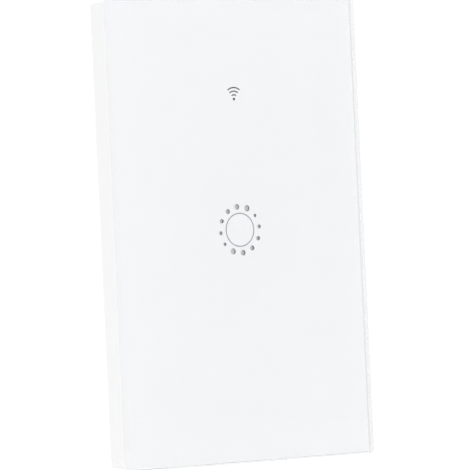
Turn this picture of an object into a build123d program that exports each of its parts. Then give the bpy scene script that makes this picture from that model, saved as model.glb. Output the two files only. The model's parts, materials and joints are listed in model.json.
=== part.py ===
from build123d import *
import math
import os

# Glass-fronted smart touch switch for a single-gang wall box, in millimetres.
# X runs to the right seen from the room, Z up and Y into the wall, from the middle of the wall plane.
# A distance called "out" is measured from the wall towards the room, and a "depth" into the wall.

# Glass front panel and the white printed sheet behind it
panel_width = 75.0
panel_height = 120.0
glass_thickness = 4.0
glass_corner_radius = 0.8
glass_chamfer = 0.5
backing_thickness = 0.2
backing_margin = 0.3
bond_gap = 0.05
panel_gap = 0.4

# Tape and tray that carry the glass
tape_thickness = 0.4
tape_width = 5.0
tape_margin = 1.5
tray_thickness = 1.6
tray_clearance = 0.25
tray_corner_radius = 1.2
tray_rib_height = 1.0
tray_rib_width = 1.2
window_lip = 1.2

# Split pegs that hold the tray in the base frame
peg_radius = 2.0
peg_inset = 6.0
peg_length = 4.4
peg_slit = 0.7
peg_tip_chamfer = 0.5
peg_clearance = 0.15
collar_wall = 1.4
collar_stop = 0.2

# Base frame
frame_inset = 0.7
frame_depth = 6.6
frame_wall = 1.8
frame_corner_radius = 1.0
frame_inner_radius = 1.0
frame_front_round = 0.7
frame_back_round = 0.5
floor_thickness = 1.8
back_rib_count = 5
back_rib_width = 1.2
back_rib_gap = 0.6
pry_notch_width = 12.0
pry_notch_depth = 2.2

# Steel mounting yoke
yoke_thickness = 1.2
yoke_end_gap = 5.2
yoke_ear_width = 30.0
yoke_corner_radius = 4.0
yoke_body_margin = 3.0
box_screw_spacing = 83.34
box_hole_radius = 2.2
access_radius = 4.6

# Rear housing
housing_wall = 1.8
housing_edge_round = 2.4
housing_corner_radius = 2.0
flange_margin = 2.0
flange_thickness = 1.6
boss_radius = 2.6
boss_sink = 0.4
boss_length = 9.0
pilot_radius = 1.3
side_boss_radius = 2.2
side_pilot_radius = 0.9
partition = 1.4
bay_clearance = 0.3
vent_count = 7
vent_pitch = 3.4
vent_width = 1.4
vent_web = 4.0
vent_edge = 1.6

# Screws
screw_shank_radius = 1.25
screw_head_radius = 2.3
screw_head_height = 1.2
screw_reach = 7.0
screw_hole_clearance = 0.25
board_screw_radius = 0.85
board_screw_head_radius = 1.7
board_screw_head_height = 1.1
board_screw_reach = 5.0

# Touch board and what it carries
touch_board_thickness = 1.2
board_edge_margin = 2.0
board_margin = 0.3
locator_wall = 0.8
locator_height = 0.8
guide_gap = 0.2
key_mark_radius = 6.1
guide_ring_width = 3.0
guide_groove = 1.6
guide_wall = 1.0
guide_pin_radius = 0.6
guide_pin_clearance = 0.1
led_length = 1.6
led_width = 0.8
led_height = 0.6
led_count = 4
spring_radius = 3.4
spring_wire = 0.3
spring_turns = 3
signal_edge_gap = 0.1
signal_guide_width = 7.0
signal_guide_height = 4.2
signal_led_gap = 0.4
module_width = 16.0
module_end_gap = 0.35
module_thickness = 0.8
shield_width = 12.6
shield_length = 11.6
shield_height = 2.2
shield_wall = 0.2
chip_width = 3.9
chip_length = 9.9
chip_height = 1.5
chip_lead_reach = 1.0
chip_lead_width = 0.4
chip_lead_thickness = 0.35
chip_lead_pitch = 1.27
chip_lead_count = 7

# Pin header between the two boards
pin_count = 6
pin_pitch = 2.54
pin_width = 0.5
pin_clearance = 0.1
pin_tail = 1.0
header_width = 2.5
socket_height = 4.2

# Power board and the parts on its back
board_front_depth = 3.0
board_thickness = 1.6
board_clearance = 0.25
part_gap = 0.8
relay_width = 15.5
relay_length = 19.0
relay_height = 15.3
relay_wall = 0.8
relay_fit = 0.1
relay_base_height = 1.6
relay_steel = 1.0
relay_frame_width = 10.0
relay_end_gap = 0.5
core_radius = 2.0
pole_radius = 3.4
pole_height = 0.9
bobbin_radius = 5.2
bobbin_flange = 0.8
bobbin_tube_wall = 0.6
winding_inset = 0.4
coil_height = 8.4
coil_gap = 0.6
winding_fit = 0.05
armature_lift = 0.1
armature_width = 9.0
armature_open = 4.0
armature_tip = 0.8
leaf_thickness = 0.2
leaf_width = 5.0
leaf_overhang = 0.8
contact_radius = 1.0
contact_height = 0.8
contact_from_end = 2.3
contact_gap = 0.1
post_width = 4.0
post_thickness = 0.8

can_radius = 4.0
can_height = 11.5
small_can_radius = 3.15
small_can_height = 11.0
can_groove = 0.25
can_groove_height = 0.6
can_groove_place = 1.2
film_cap_width = 13.0
film_cap_thickness = 5.6
film_cap_height = 11.0
film_cap_round = 0.6
film_cap_chamfer = 0.3
varistor_radius = 4.5
varistor_thickness = 3.6
varistor_round = 1.2
varistor_leg = 1.6
fuse_radius = 1.8
fuse_length = 8.0
fuse_cap_length = 1.6
fuse_cap_step = 0.2
fuse_lift = 0.4
lead_radius = 0.35
lead_overhang = 1.0
choke_radius = 3.25
choke_height = 8.0
choke_flange = 1.0
choke_stem_radius = 1.4
choke_winding_inset = 0.35
rectifier_width = 4.7
rectifier_length = 3.9
rectifier_height = 1.5
rectifier_foot = 0.9
transformer_length = 13.4
transformer_height = 12.4
transformer_depth = 5.0
transformer_leg = 1.9
transformer_end = 2.2
transformer_centre = 3.2
transformer_base = 1.0
transformer_flange = 0.7
transformer_tube_wall = 0.5
transformer_fit = 0.1
transformer_winding = 1.7

# Rising-clamp terminals for the supply and lamp wires
pole_count = 3
cage_width = 6.4
cage_length = 6.4
cage_wall = 0.7
cage_bend = 0.6
cage_front = 1.2
cage_back = 1.4
cage_travel = 3.0
cage_clearance = 0.25
wire_space = 4.4
bar_thickness = 1.0
bar_clearance = 0.2
bar_leg = 0.8
bar_end_gap = 0.4
bar_play = 0.3
block_floor = 3.2
block_rib = 2.1
block_shelf = 1.1
block_end_wall = 2.6
block_mouth = 3.2
block_edge_round = 0.5
clamp_screw_radius = 1.5
clamp_screw_head_radius = 2.5
clamp_screw_head_height = 2.0
clamp_screw_recess = 0.9
clamp_screw_slot = 0.7
clamp_screw_slot_depth = 0.9
clamp_fit = 0.2
tip_gap = 0.1

# The stack, from the wall out to the face of the glass
floor_back = yoke_thickness
floor_front = floor_back + floor_thickness
touch_front = floor_front + touch_board_thickness
backing_back = frame_depth + panel_gap
glass_back = backing_back + backing_thickness + bond_gap
glass_front = glass_back + glass_thickness
tray_front = backing_back - tape_thickness
tray_back = tray_front - tray_thickness
guide_top = backing_back - guide_gap
board_back_depth = board_front_depth + board_thickness

# Outlines of the base frame and of the tray inside it
frame_width = panel_width - 2 * frame_inset
frame_height = panel_height - 2 * frame_inset
frame_inner_width = frame_width - 2 * frame_wall
frame_inner_height = frame_height - 2 * frame_wall
tray_width = frame_inner_width - 2 * tray_clearance
tray_height = frame_inner_height - 2 * tray_clearance
yoke_height = frame_inner_height - 2 * yoke_end_gap

# The terminal block, built up around its cages
cage_inner_depth = bar_play + bar_thickness + wire_space
cage_depth = cage_front + cage_inner_depth + cage_back
pocket_front_depth = board_back_depth + block_floor
cage_front_depth = pocket_front_depth + cage_clearance
bar_front_depth = cage_front_depth + cage_front + wire_space
bar_back_depth = bar_front_depth + bar_thickness
pocket_back_depth = cage_front_depth + cage_depth + cage_travel + cage_clearance
head_depth = pocket_back_depth + block_shelf + tip_gap
block_back_depth = head_depth + clamp_screw_head_height + clamp_screw_recess
pole_pitch = cage_width + 2 * cage_clearance + block_rib
block_width = pole_count * pole_pitch
leg_slot = bar_leg + 2 * bar_clearance
block_height = block_mouth + cage_length + bar_end_gap + leg_slot + block_end_wall
bay_width = block_width + 2 * bay_clearance

# The housing's inside, wide and tall enough for the two columns of parts above the terminal bay
side_boss_reach = 2 * side_boss_radius - boss_sink
columns_width = relay_width + transformer_length + 3 * part_gap + 2 * side_boss_reach
bay_row_width = bay_width + 2 * (2 * boss_radius - boss_sink)
inner_width = max(columns_width, bay_row_width)
left_rows = relay_length + film_cap_thickness + varistor_thickness + 2 * fuse_radius + 3 * part_gap
right_rows = 2 * (can_radius + small_can_radius + choke_radius) + transformer_length + 3 * part_gap
rows_height = max(left_rows, right_rows)
bay_reach = block_height + bay_clearance - housing_wall
inner_height = bay_reach + partition + rows_height + 2 * part_gap
housing_width = inner_width + 2 * housing_wall
housing_height = inner_height + 2 * housing_wall
parts_depth = board_back_depth + max(relay_height, can_height, film_cap_height) + part_gap
housing_depth = max(parts_depth + housing_wall, block_back_depth)
flange_width = housing_width + 2 * flange_margin
flange_height = housing_height + 2 * flange_margin
block_bottom = -housing_height / 2
bay_top = block_bottom + block_height + bay_clearance
rows_bottom = bay_top + partition + part_gap

# Screw places and the window that the boards share
boss_x = inner_width / 2 - boss_radius + boss_sink
boss_z = inner_height / 2 - boss_radius + boss_sink
boss_places = [(x, z) for x in (-boss_x, boss_x) for z in (-boss_z, boss_z)]
side_boss_x = inner_width / 2 - side_boss_radius + boss_sink
side_boss_z = rows_bottom + relay_length / 2
side_boss_places = [(x, side_boss_z) for x in (-side_boss_x, side_boss_x)]
window_width = 2 * (boss_x - boss_radius)
window_height = 2 * (boss_z - boss_radius - board_edge_margin)
touch_board_width = 2 * (boss_x + screw_head_radius + board_edge_margin)
touch_board_height = box_screw_spacing - 2 * (access_radius + board_margin)
signal_z = touch_board_height / 2 - signal_edge_gap - signal_guide_height / 2
module_length = window_height / 2 - part_gap - module_end_gap
box_screw_places = [(0, z) for z in (-box_screw_spacing / 2, box_screw_spacing / 2)]
peg_x = tray_width / 2 - peg_inset
peg_z = tray_height / 2 - peg_inset
peg_places = [(x, z) for x in (-peg_x, peg_x) for z in (-peg_z, peg_z)]
header_x = window_width / 2 - header_width - part_gap
pin_places = [(header_x, (i - (pin_count - 1) / 2) * pin_pitch) for i in range(pin_count)]
left_edge = -inner_width / 2 + side_boss_reach + part_gap
right_edge = inner_width / 2 - side_boss_reach - part_gap
pole_places = [(i - (pole_count - 1) / 2) * pole_pitch for i in range(pole_count)]
pole_z = block_bottom + block_mouth + cage_length / 2
standing = (Align.CENTER, Align.CENTER, Align.MIN)


# Shapes drawn in X and Z and thickened between two distances out from the wall
def slab(outline, low, high):
    return extrude(Plane.XZ.offset(low) * outline, amount=high - low)


def block(width, height, low, high, x=0.0, z=0.0):
    return slab(Pos(x, z) * Rectangle(width, height), low, high)


def round_block(width, height, radius, low, high):
    return slab(RectangleRounded(width, height, radius), low, high)


def disc(radius, low, high, x=0.0, z=0.0):
    return slab(Pos(x, z) * Circle(radius), low, high)


def discs(radius, low, high, places):
    return Part() + [disc(radius, low, high, x, z) for x, z in places]


# A seat on the back of a board: its local z runs deeper into the wall and its local y runs down
def seat(x, depth, z):
    return Plane(origin=(x, depth, z), x_dir=(1, 0, 0), z_dir=(0, 1, 0)).location


def standing_box(width, length, low, high, x=0.0, y=0.0):
    return Pos(x, y, low) * Box(width, length, high - low, align=standing)


def standing_disc(radius, low, high, x=0.0, y=0.0):
    return Pos(x, y, low) * Cylinder(radius, high - low, align=standing)


def outer_edges(solid, axis, last):
    faces = solid.faces().sort_by(axis)
    return faces[-1].edges() if last else faces[0].edges()


# Front panel: the glass, its white printed sheet, the tape frame and the tray behind them
def make_glass_panel():
    glass = round_block(panel_width, panel_height, glass_corner_radius, glass_back, glass_front)
    glass = chamfer(outer_edges(glass, Axis.Y, False), glass_chamfer)
    return chamfer(outer_edges(glass, Axis.Y, True), glass_chamfer)


def make_printed_backing():
    width = panel_width - 2 * backing_margin
    height = panel_height - 2 * backing_margin
    radius = glass_corner_radius - backing_margin
    return round_block(width, height, radius, backing_back, backing_back + backing_thickness)


def make_adhesive_frame():
    width = tray_width - 2 * tape_margin
    height = tray_height - 2 * tape_margin
    hole_width = width - 2 * tape_width
    hole_height = height - 2 * tape_width
    return slab(Rectangle(width, height) - Rectangle(hole_width, hole_height), tray_front, backing_back)


def make_split_peg():
    peg = disc(peg_radius, tray_back - peg_length, tray_back)
    peg = chamfer(outer_edges(peg, Axis.Y, True), peg_tip_chamfer)
    return peg - block(peg_slit, 2 * peg_radius, tray_back - peg_length, tray_back - peg_slit)


def make_panel_tray():
    hole_width = touch_board_width + 2 * (locator_wall + board_margin + window_lip)
    hole_height = touch_board_height + 2 * (locator_wall + board_margin + window_lip)
    hole = RectangleRounded(hole_width, hole_height, tray_corner_radius)
    tray = round_block(tray_width, tray_height, tray_corner_radius, tray_back, tray_front)
    rim = Rectangle(hole_width + 2 * tray_rib_width, hole_height + 2 * tray_rib_width)
    rim += Rectangle(tray_width - 2 * peg_inset, tray_rib_width)
    edge = RectangleRounded(tray_width, tray_height, tray_corner_radius)
    edge -= Rectangle(tray_width - 2 * tray_rib_width, tray_height - 2 * tray_rib_width)
    ribs = slab(edge + rim, tray_back - tray_rib_height, tray_back)
    tray = tray + ribs - slab(hole, tray_back - tray_rib_height, tray_front)
    tray -= block(pry_notch_width, 2 * pry_notch_depth, 0, tray_back, 0, -tray_height / 2)
    return tray + [Pos(x, 0, z) * make_split_peg() for x, z in peg_places]


# Base frame: the visible skirt, the floor that carries the touch board, and the sockets for the pegs
def make_base_frame():
    frame = round_block(frame_width, frame_height, frame_corner_radius, 0, frame_depth)
    frame = fillet(outer_edges(frame, Axis.Y, False), frame_front_round)
    frame = fillet(outer_edges(frame, Axis.Y, True), frame_back_round)
    inside = RectangleRounded(frame_inner_width, frame_inner_height, frame_inner_radius)
    frame -= slab(inside, floor_front, frame_depth)
    frame -= slab(inside, 0, floor_back)
    rib_reach = (frame_inner_width - flange_width) / 2 - back_rib_gap
    rib_x = frame_inner_width / 2 - rib_reach / 2
    rib_step = flange_height / (back_rib_count - 1)
    for i in range(back_rib_count):
        rib_z = (i - (back_rib_count - 1) / 2) * rib_step
        for side in (-1, 1):
            frame += block(rib_reach, back_rib_width, 0, floor_back, side * rib_x, rib_z)
    frame += discs(peg_radius + peg_clearance + collar_wall, collar_stop, floor_back, peg_places)
    pocket = Rectangle(touch_board_width + 2 * board_margin, touch_board_height + 2 * board_margin)
    fence = Rectangle(
        touch_board_width + 2 * (board_margin + locator_wall),
        touch_board_height + 2 * (board_margin + locator_wall),
    )
    frame += slab(fence - pocket, floor_front, floor_front + locator_height)
    frame -= discs(peg_radius + peg_clearance, 0, floor_front, peg_places)
    frame -= discs(screw_shank_radius + screw_hole_clearance, 0, floor_front, boss_places)
    frame -= discs(access_radius, 0, frame_depth, box_screw_places)
    frame -= round_block(window_width, window_height, frame_inner_radius, floor_back, floor_front)
    notch_z = -frame_height / 2
    notch = block(pry_notch_width, 2 * frame_wall, frame_depth - pry_notch_depth, frame_depth, 0, notch_z)
    return frame - notch


# Steel yoke that lies on the wall box's ears
def make_mounting_yoke():
    body_height = flange_height + 2 * yoke_body_margin
    outline = RectangleRounded(flange_width, body_height, yoke_corner_radius)
    outline += RectangleRounded(yoke_ear_width, yoke_height, yoke_corner_radius)
    outline -= RectangleRounded(window_width, window_height, frame_inner_radius)
    yoke = slab(outline, 0, yoke_thickness)
    yoke -= discs(screw_shank_radius + screw_hole_clearance, 0, yoke_thickness, boss_places)
    return yoke - discs(box_hole_radius, 0, yoke_thickness, box_screw_places)


# Housing that reaches into the wall box, with vents behind the warm parts and a bay for the terminal block
def make_rear_housing():
    shell = round_block(housing_width, housing_height, housing_corner_radius, -housing_depth, 0)
    shell = fillet(outer_edges(shell, Axis.Y, True), housing_edge_round)
    shell += round_block(flange_width, flange_height, housing_corner_radius, -flange_thickness, 0)
    inner_depth = housing_depth - housing_wall
    shell -= block(inner_width, inner_height, -inner_depth, 0)
    bosses = discs(boss_radius, -boss_length, 0, boss_places)
    bosses += discs(side_boss_radius, -inner_depth, -board_back_depth, side_boss_places)
    liner_width = bay_width + 2 * partition
    liner_height = block_height + bay_clearance + partition
    liner_z = block_bottom + liner_height / 2
    liner = block(liner_width, liner_height, -inner_depth, -board_back_depth, 0, liner_z)
    within_walls = block(housing_width - housing_wall, housing_height - housing_wall, -housing_depth, 0)
    shell += (bosses + liner) & within_walls
    bay_z = block_bottom + (block_height + bay_clearance) / 2
    shell -= block(bay_width, block_height + bay_clearance, -housing_depth, -board_back_depth, 0, bay_z)
    vent_length = side_boss_x - side_boss_radius - vent_edge - vent_web / 2
    vent_x = (vent_web + vent_length) / 2
    for i in range(vent_count):
        vent_z = rows_bottom + rows_height / 2 + (i - (vent_count - 1) / 2) * vent_pitch
        for x in (-vent_x, vent_x):
            vent = Pos(x, vent_z) * SlotOverall(vent_length, vent_width)
            shell -= slab(vent, -housing_depth, -inner_depth)
    shell -= discs(pilot_radius, -boss_length, 0, boss_places)
    pilot_end = board_back_depth + board_screw_reach
    return shell - discs(side_pilot_radius, -pilot_end, -board_back_depth, side_boss_places)


# Screws that hold the touch board, base frame, yoke and housing together, and the power board's own
def make_screw(shank_radius, head_radius, head_height, reach, face):
    return disc(shank_radius, face - reach, face) + disc(head_radius, face, face + head_height)


def make_assembly_screws():
    reach = touch_front + screw_reach
    screw = make_screw(screw_shank_radius, screw_head_radius, screw_head_height, reach, touch_front)
    return [Pos(x, 0, z) * screw for x, z in boss_places]


def make_board_screws():
    reach = board_thickness + board_screw_reach - tip_gap
    face = -board_front_depth
    screw = make_screw(board_screw_radius, board_screw_head_radius, board_screw_head_height, reach, face)
    return [Pos(x, 0, z) * screw for x, z in side_boss_places]


# Touch board with its light guides, touch spring, lamps and radio
signal_pin_x = signal_guide_width / 2 - guide_pin_radius - board_margin
guide_pin_places = [(-key_mark_radius, 0), (key_mark_radius, 0)]
signal_pin_places = [(x, signal_z) for x in (-signal_pin_x, signal_pin_x)]
led_angles = [360 / led_count * (i + 0.5) for i in range(led_count)]


def make_touch_board():
    board = block(touch_board_width, touch_board_height, floor_front, touch_front)
    board -= discs(screw_shank_radius + screw_hole_clearance, floor_front, touch_front, boss_places)
    pin_hole = guide_pin_radius + guide_pin_clearance
    return board - discs(pin_hole, floor_front, touch_front, guide_pin_places + signal_pin_places)


def make_key_light_guide():
    inner = key_mark_radius - guide_ring_width / 2
    outer = key_mark_radius + guide_ring_width / 2
    ring = disc(outer, touch_front, guide_top) - disc(inner, touch_front, guide_top)
    groove_inner = key_mark_radius - guide_groove / 2
    groove_outer = key_mark_radius + guide_groove / 2
    groove_top = guide_top - guide_wall
    ring -= disc(groove_outer, touch_front, groove_top) - disc(groove_inner, touch_front, groove_top)
    return ring + discs(guide_pin_radius, floor_front, guide_top - guide_wall, guide_pin_places)


def make_signal_light_guide():
    guide = block(signal_guide_width, signal_guide_height, touch_front, guide_top, 0, signal_z)
    pocket_width = led_length + 2 * signal_led_gap
    pocket_height = led_width + 2 * signal_led_gap
    pocket_top = touch_front + led_height + signal_led_gap
    guide -= block(pocket_width, pocket_height, touch_front, pocket_top, 0, signal_z)
    return guide + discs(guide_pin_radius, floor_front, touch_front, signal_pin_places)


def make_indicator_leds():
    led = block(led_length, led_width, touch_front, touch_front + led_height)
    ring = [Rot(0, angle, 0) * Pos(0, 0, key_mark_radius) * led for angle in led_angles]
    return ring + [Pos(0, 0, signal_z) * led]


def make_touch_spring():
    rise = guide_top - touch_front - 2 * spring_wire
    coil = Helix(pitch=rise / spring_turns, height=rise, radius=spring_radius)
    wire = sweep(Plane(origin=coil @ 0, z_dir=coil % 0) * Circle(spring_wire), path=coil)
    return Plane.XZ.offset(touch_front + spring_wire).location * wire


module_x = header_x - header_width - part_gap - module_width / 2
module_seat = seat(module_x, -floor_front, module_length / 2 + part_gap)
module_shield_y = module_length / 2 - shield_length / 2 - part_gap


def make_wireless_module():
    return module_seat * standing_box(module_width, module_length, 0, module_thickness)


def make_module_shield():
    top = module_thickness + shield_height
    can = standing_box(shield_width, shield_length, module_thickness, top, 0, module_shield_y)
    can = fillet(can.faces().sort_by(Axis.Z)[-1].edges(), shield_wall)
    inner_width = shield_width - 2 * shield_wall
    inner_length = shield_length - 2 * shield_wall
    can -= standing_box(inner_width, inner_length, module_thickness, top - shield_wall, 0, module_shield_y)
    return module_seat * can


def make_gull_chip(width, length, height, lead_places, lead_width, lead_reach):
    chip = standing_box(width, length, 0, height)
    for y in lead_places:
        chip += standing_box(width + 2 * lead_reach, lead_width, 0, chip_lead_thickness, 0, y)
    return chip


def make_touch_chip():
    leads = [(i - (chip_lead_count - 1) / 2) * chip_lead_pitch for i in range(chip_lead_count)]
    chip = make_gull_chip(chip_width, chip_length, chip_height, leads, chip_lead_width, chip_lead_reach)
    return seat(0, -floor_front, -chip_length / 2 - part_gap) * chip


# Pin header between the boards
header_length = pin_count * pin_pitch
socket_top = floor_front - socket_height


def make_header_socket():
    socket = block(header_width, header_length, socket_top, floor_front, header_x, 0)
    hole = pin_width + 2 * pin_clearance
    return socket - [block(hole, hole, socket_top, floor_front - pin_tail, x, z) for x, z in pin_places]


def make_header_strip():
    strip = block(header_width, header_length, -board_front_depth, socket_top, header_x, 0)
    hole = pin_width + 2 * pin_clearance
    return strip - [block(hole, hole, -board_front_depth, socket_top, x, z) for x, z in pin_places]


def make_header_pins():
    high = floor_front - pin_tail - pin_clearance
    return [block(pin_width, pin_width, -board_back_depth, high, x, z) for x, z in pin_places]


# Power board, notched at the corners for the housing's screw columns
def make_power_board():
    width = inner_width - 2 * board_clearance
    height = inner_height - 2 * board_clearance
    board = block(width, height, -board_back_depth, -board_front_depth)
    notch = boss_radius + board_clearance
    for x, z in boss_places:
        side_x = math.copysign(inner_width / 2, x)
        side_z = math.copysign(inner_height / 2, z)
        cut_width = 2 * (abs(side_x - x) + notch)
        cut_height = 2 * (abs(side_z - z) + notch)
        board -= block(cut_width, cut_height, -board_back_depth, -board_front_depth, side_x, side_z)
    screw_hole = board_screw_radius + pin_clearance
    board -= discs(screw_hole, -board_back_depth, -board_front_depth, side_boss_places)
    return board - discs(pin_width, -board_back_depth, -board_front_depth, pin_places)


# Relay: an L-shaped frame, a coil on its core, and an armature that rocks on the frame's edge
relay_x = left_edge + relay_width / 2
relay_z = rows_bottom + relay_length / 2
relay_seat = seat(relay_x, board_back_depth, relay_z)
frame_leg_y = -relay_length / 2 + relay_wall + relay_end_gap
coil_y = frame_leg_y + relay_steel + coil_gap + bobbin_radius
coil_low = relay_base_height + relay_steel
coil_high = coil_low + coil_height
pole_top = coil_high + pole_height
hinge_y = frame_leg_y + relay_steel / 2
hinge_height = pole_top + armature_lift
contact_y = relay_length / 2 - relay_wall - contact_from_end


def make_relay_base():
    width = relay_width - 2 * (relay_wall + relay_fit)
    length = relay_length - 2 * (relay_wall + relay_fit)
    return relay_seat * standing_box(width, length, 0, relay_base_height)


def make_relay_case():
    case = standing_box(relay_width, relay_length, 0, relay_height)
    case = fillet(case.faces().sort_by(Axis.Z)[-1].edges(), relay_wall)
    inner_width = relay_width - 2 * relay_wall
    inner_length = relay_length - 2 * relay_wall
    return relay_seat * (case - standing_box(inner_width, inner_length, 0, relay_height - relay_wall))


def make_relay_frame():
    leg = frame_leg_y + relay_steel / 2
    foot_end = coil_y + core_radius + relay_steel
    foot_length = foot_end - frame_leg_y
    foot_y = frame_leg_y + foot_length / 2
    steel = standing_box(relay_frame_width, relay_steel, relay_base_height, pole_top, 0, leg)
    steel += standing_box(relay_frame_width, foot_length, relay_base_height, coil_low, 0, foot_y)
    return relay_seat * steel


def make_relay_core():
    core = standing_disc(core_radius, coil_low, coil_high, 0, coil_y)
    return relay_seat * (core + standing_disc(pole_radius, coil_high, pole_top, 0, coil_y))


def make_relay_bobbin():
    bore = core_radius + winding_fit
    bobbin = standing_disc(bore + bobbin_tube_wall, coil_low, coil_high, 0, coil_y)
    bobbin += standing_disc(bobbin_radius, coil_low, coil_low + bobbin_flange, 0, coil_y)
    bobbin += standing_disc(bobbin_radius, coil_high - bobbin_flange, coil_high, 0, coil_y)
    return relay_seat * (bobbin - standing_disc(bore, coil_low, coil_high, 0, coil_y))


def make_relay_winding():
    low = coil_low + bobbin_flange + winding_fit
    high = coil_high - bobbin_flange - winding_fit
    inner = core_radius + 2 * winding_fit + bobbin_tube_wall
    winding = standing_disc(bobbin_radius - winding_inset, low, high, 0, coil_y)
    return relay_seat * (winding - standing_disc(inner, low, high, 0, coil_y))


# The armature group is drawn closed and swung open about the frame's edge
def swing_open(shape):
    hinge = Pos(0, hinge_y, hinge_height)
    return relay_seat * hinge * Rot(armature_open, 0, 0) * hinge.inverse() * shape


def make_relay_armature():
    tip = coil_y + pole_radius + armature_tip
    length = tip - frame_leg_y
    plate = standing_box(
        armature_width, length, hinge_height, hinge_height + relay_steel, 0, frame_leg_y + length / 2
    )
    return swing_open(plate)


def make_relay_contact_leaf():
    leaf_low = hinge_height + relay_steel
    start = frame_leg_y + relay_steel + coil_gap
    end = contact_y + contact_radius + leaf_overhang
    leaf = standing_box(leaf_width, end - start, leaf_low, leaf_low + leaf_thickness, 0, (start + end) / 2)
    leaf += standing_disc(contact_radius, leaf_low - contact_height, leaf_low, 0, contact_y)
    return swing_open(leaf)


def make_relay_fixed_contact():
    top = hinge_height + relay_steel - contact_height - contact_gap
    post = standing_box(post_width, post_thickness, relay_base_height, top - contact_height, 0, contact_y)
    return relay_seat * (post + standing_disc(contact_radius, top - contact_height, top, 0, contact_y))


# Parts above the relay in the left column, going up
film_cap_z = rows_bottom + relay_length + part_gap + film_cap_thickness / 2
varistor_z = film_cap_z + film_cap_thickness / 2 + part_gap + varistor_thickness / 2
fuse_z = varistor_z + varistor_thickness / 2 + part_gap + fuse_radius


def make_safety_capacitor():
    film_cap = standing_box(film_cap_width, film_cap_thickness, 0, film_cap_height)
    film_cap = fillet(film_cap.edges().filter_by(Axis.Z), film_cap_round)
    film_cap = chamfer(film_cap.faces().sort_by(Axis.Z)[-1].edges(), film_cap_chamfer)
    return seat(left_edge + relay_width / 2, board_back_depth, film_cap_z) * film_cap


def make_varistor():
    pellet = Cylinder(varistor_radius, varistor_thickness, rotation=(90, 0, 0))
    pellet = fillet(pellet.edges().filter_by(GeomType.CIRCLE), varistor_round)
    pellet = Pos(0, 0, varistor_leg + varistor_radius) * pellet
    for x in (-varistor_radius / 2, varistor_radius / 2):
        pellet += standing_disc(lead_radius, 0, varistor_leg + varistor_radius, x, 0)
    return seat(left_edge + relay_width / 2, board_back_depth, varistor_z) * pellet


def make_fuse_resistor():
    height = fuse_radius + fuse_lift
    lead_reach = fuse_length / 2 + lead_overhang
    body = Cylinder(fuse_radius - fuse_cap_step, fuse_length, rotation=(0, 90, 0))
    body += Cylinder(lead_radius, 2 * lead_reach, rotation=(0, 90, 0))
    for side in (-1, 1):
        cap_x = side * (fuse_length / 2 - fuse_cap_length / 2)
        body += Pos(cap_x, 0, 0) * Cylinder(fuse_radius, fuse_cap_length, rotation=(0, 90, 0))
    body = Pos(0, 0, height) * body
    for side in (-1, 1):
        body += standing_disc(lead_radius, 0, height + lead_radius, side * lead_reach, 0)
    return seat(left_edge + lead_reach + lead_radius, board_back_depth, fuse_z) * body


# Parts in the right column, going up: two cans, the transformer and the choke
right_x = right_edge - transformer_length / 2
can_z = rows_bottom + can_radius
small_can_z = can_z + can_radius + part_gap + small_can_radius
transformer_z = small_can_z + small_can_radius + part_gap + transformer_length / 2
choke_z = transformer_z + transformer_length / 2 + part_gap + choke_radius


def make_can(radius, height):
    can = standing_disc(radius, 0, height)
    can = fillet(can.faces().sort_by(Axis.Z)[-1].edges(), can_groove_height)
    groove_high = can_groove_place + can_groove_height
    groove = standing_disc(radius, can_groove_place, groove_high)
    return can - (groove - standing_disc(radius - can_groove, can_groove_place, groove_high))


def make_filter_capacitors():
    large = seat(right_x, board_back_depth, can_z) * make_can(can_radius, can_height)
    small = seat(right_x, board_back_depth, small_can_z) * make_can(small_can_radius, small_can_height)
    return [large, small]


# Transformer: a ferrite core of two E halves around a bobbin with a foot, and its winding
transformer_seat = seat(right_x, board_back_depth, transformer_z)
ferrite_low = transformer_base + transformer_fit
ferrite_mid = ferrite_low + transformer_height / 2
opening_length = transformer_length - 2 * transformer_end
opening_height = (transformer_height - transformer_centre) / 2 - transformer_leg
tube_inner_y = transformer_depth + 2 * transformer_fit
tube_inner_z = transformer_centre + 2 * transformer_fit
tube_outer_y = tube_inner_y + 2 * transformer_tube_wall
tube_outer_z = tube_inner_z + 2 * transformer_tube_wall
coil_outer_y = tube_outer_y + 2 * transformer_winding
coil_outer_z = transformer_centre + 2 * (opening_height - transformer_fit)


def along_core(length, width, height, x=0.0):
    return Pos(x, 0, ferrite_mid) * Box(length, width, height)


def make_transformer_core():
    ferrite = along_core(transformer_length, transformer_depth, transformer_height)
    window_z = (transformer_centre + opening_height) / 2
    for side in (-1, 1):
        opening = along_core(opening_length, transformer_depth, opening_height)
        ferrite -= Pos(0, 0, side * window_z) * opening
    return transformer_seat * ferrite


def make_transformer_bobbin():
    flange_x = opening_length / 2 - transformer_fit - transformer_flange / 2
    tube_length = opening_length - 2 * transformer_fit
    bobbin = along_core(tube_length, tube_outer_y, tube_outer_z)
    foot = standing_box(transformer_length, coil_outer_y, 0, transformer_base)
    leg_top = ferrite_low + transformer_leg + transformer_fit + opening_height
    leg_width = (coil_outer_y - tube_inner_y) / 2
    leg_y = (coil_outer_y - leg_width) / 2
    for side in (-1, 1):
        x = side * flange_x
        bobbin += along_core(transformer_flange, coil_outer_y, coil_outer_z, x)
        for way in (-1, 1):
            bobbin += standing_box(transformer_flange, leg_width, 0, leg_top, x, way * leg_y)
    return transformer_seat * (bobbin + foot - along_core(tube_length, tube_inner_y, tube_inner_z))


def make_transformer_winding():
    length = opening_length - 2 * (transformer_flange + 2 * transformer_fit)
    coil = along_core(length, coil_outer_y, coil_outer_z)
    coil = fillet(coil.edges().filter_by(Axis.X), transformer_winding)
    inner_y = tube_outer_y + 2 * winding_fit
    inner_z = tube_outer_z + 2 * winding_fit
    return transformer_seat * (coil - along_core(length, inner_y, inner_z))


# Choke: a ferrite spool with its winding
choke_seat = seat(right_x, board_back_depth, choke_z)


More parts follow.
